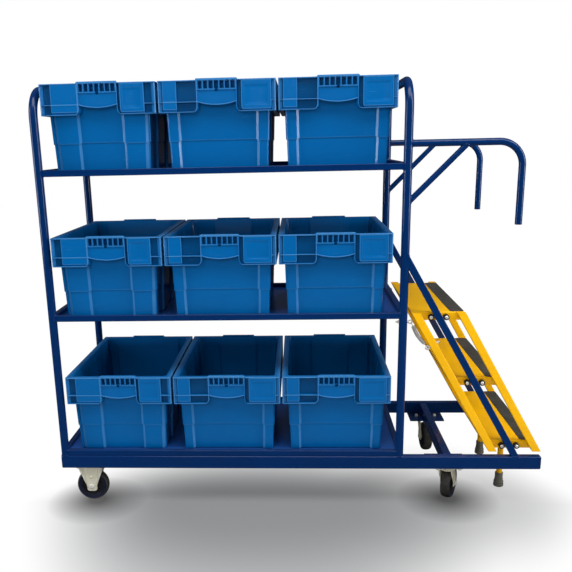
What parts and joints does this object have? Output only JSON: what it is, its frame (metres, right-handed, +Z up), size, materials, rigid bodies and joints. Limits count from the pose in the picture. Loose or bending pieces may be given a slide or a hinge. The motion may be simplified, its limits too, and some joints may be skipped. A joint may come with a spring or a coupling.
{
  "type": "picking trolley",
  "caption": "Wheeled tube-frame picking trolley with tray shelves of stacking bins, grab handles and a spring-held step unit that drops onto rubber feet when stood on.",
  "frame": {"origin": "on the floor under the middle of the base frame", "axes": "+X towards the steps, +Y from the front bin faces to the rear, +Z up"},
  "size_m": [1.821, 0.621, 1.568],
  "materials": {
    "navy_paint": "smooth semi-gloss powder coat on steel tube",
    "deck_paint": "glossy powder coat on sheet steel",
    "yellow_paint": "semi-gloss powder coat on steel tube and folded sheet",
    "bin_plastic": "moulded polypropylene with a fine satin grain",
    "castor_zinc": "passivated zinc plate on pressed steel",
    "zinc_steel": "zinc plated steel",
    "tyre": "solid black rubber tyre",
    "hub_plastic": "moulded polyamide wheel body",
    "foot_rubber": "moulded rubber ferrule",
    "grit_strip": "self-adhesive abrasive grit strip",
    "bush_plastic": "turned acetal glide bush",
    "plug_plastic": "moulded tube end plug"
  },
  "bodies": {
    "frame": {"base_rails": "navy_paint", "base_cross_tubes": "navy_paint", "rail_end_plates": "navy_paint", "castor_mounts": "navy_paint", "hoop_left": "navy_paint", "hoop_right": "navy_paint", "shelf_bars_bottom": "navy_paint", "shelf_bars_middle": "navy_paint", "shelf_bars_top": "navy_paint", "deck_bottom": "deck_paint", "deck_middle": "deck_paint", "deck_top": "deck_paint", "handle_front": "navy_paint", "handle_rear": "navy_paint", "handle_braces": "navy_paint", "handle_plugs": "plug_plastic", "guide_rails": "navy_paint", "eye_bolts": "zinc_steel", "eye_nuts": "zinc_steel", "spring_front": "zinc_steel", "spring_rear": "zinc_steel", "fixed_brackets": "castor_zinc", "fixed_axles": "zinc_steel", "swivel_plates": "castor_zinc", "kingpins": "zinc_steel", "castor_bolts": "zinc_steel", "castor_nuts": "zinc_steel"},
    "step_unit": {"stringers_front": "yellow_paint", "stringers_rear": "yellow_paint", "tread_top": "yellow_paint", "tread_middle": "yellow_paint", "tread_bottom": "yellow_paint", "tread_pads": "grit_strip", "step_legs": "yellow_paint", "rubber_feet": "foot_rubber", "guide_bushes": "bush_plastic", "bush_bolts": "zinc_steel", "step_nuts": "zinc_steel", "step_eyes": "zinc_steel"},
    "swivel_front": {"fork_front": "castor_zinc", "axle_front": "zinc_steel"},
    "swivel_rear": {"fork_rear": "castor_zinc", "axle_rear": "zinc_steel"},
    "wheel_fl": {"hub_fl": "hub_plastic", "tyre_fl": "tyre"},
    "wheel_rl": {"hub_rl": "hub_plastic", "tyre_rl": "tyre"},
    "wheel_fr": {"hub_fr": "hub_plastic", "tyre_fr": "tyre"},
    "wheel_rr": {"hub_rr": "hub_plastic", "tyre_rr": "tyre"},
    "bin_bottom_left": {"bin_bottom_left": "bin_plastic"},
    "bin_bottom_centre": {"bin_bottom_centre": "bin_plastic"},
    "bin_bottom_right": {"bin_bottom_right": "bin_plastic"},
    "bin_middle_left": {"bin_middle_left": "bin_plastic"},
    "bin_middle_centre": {"bin_middle_centre": "bin_plastic"},
    "bin_middle_right": {"bin_middle_right": "bin_plastic"},
    "bin_top_left": {"bin_top_left": "bin_plastic"},
    "bin_top_centre": {"bin_top_centre": "bin_plastic"},
    "bin_top_right": {"bin_top_right": "bin_plastic"}
  },
  "joints": [
    {"name": "step_slide", "type": "slide", "parent": "frame", "child": "step_unit", "axis": [0.4909, 0, -0.8712], "range_m": [0, 0.0114], "stiffness_N_per_m": 10000, "springref_m": -0.0172, "deforming": ["spring_front", "spring_rear"]},
    {"name": "swivel_front_turn", "type": "hinge", "parent": "frame", "child": "swivel_front", "pos_m": [0.5745, -0.26, 0.134], "axis": [0, 0, 1], "continuous": true},
    {"name": "swivel_rear_turn", "type": "hinge", "parent": "frame", "child": "swivel_rear", "pos_m": [0.5745, 0.26, 0.134], "axis": [0, 0, 1], "continuous": true},
    {"name": "wheel_fl_spin", "type": "hinge", "parent": "frame", "child": "wheel_fl", "pos_m": [-0.8055, -0.26, 0.0625], "axis": [0, 1, 0], "continuous": true},
    {"name": "wheel_rl_spin", "type": "hinge", "parent": "frame", "child": "wheel_rl", "pos_m": [-0.8055, 0.26, 0.0625], "axis": [0, 1, 0], "continuous": true},
    {"name": "wheel_fr_spin", "type": "hinge", "parent": "swivel_front", "child": "wheel_fr", "pos_m": [0.59028, -0.22764, 0.0625], "axis": [-0.8988, 0.4384, 0], "continuous": true},
    {"name": "wheel_rr_spin", "type": "hinge", "parent": "swivel_rear", "child": "wheel_rr", "pos_m": [0.57701, 0.22409, 0.0625], "axis": [0.9976, 0.0698, 0], "continuous": true},
    {"name": "bin_bottom_left_lift", "type": "slide", "parent": "frame", "child": "bin_bottom_left", "axis": [0, 0, 1], "range_m": [0, 0.2]},
    {"name": "bin_bottom_centre_lift", "type": "slide", "parent": "frame", "child": "bin_bottom_centre", "axis": [0, 0, 1], "range_m": [0, 0.2]},
    {"name": "bin_bottom_right_lift", "type": "slide", "parent": "frame", "child": "bin_bottom_right", "axis": [0, 0, 1], "range_m": [0, 0.2]},
    {"name": "bin_middle_left_lift", "type": "slide", "parent": "frame", "child": "bin_middle_left", "axis": [0, 0, 1], "range_m": [0, 0.2]},
    {"name": "bin_middle_centre_lift", "type": "slide", "parent": "frame", "child": "bin_middle_centre", "axis": [0, 0, 1], "range_m": [0, 0.2]},
    {"name": "bin_middle_right_lift", "type": "slide", "parent": "frame", "child": "bin_middle_right", "axis": [0, 0, 1], "range_m": [0, 0.2]},
    {"name": "bin_top_left_lift", "type": "slide", "parent": "frame", "child": "bin_top_left", "axis": [0, 0, 1], "range_m": [0, 0.35]},
    {"name": "bin_top_centre_lift", "type": "slide", "parent": "frame", "child": "bin_top_centre", "axis": [0, 0, 1], "range_m": [0, 0.35]},
    {"name": "bin_top_right_lift", "type": "slide", "parent": "frame", "child": "bin_top_right", "axis": [0, 0, 1], "range_m": [0, 0.35]}
  ]
}
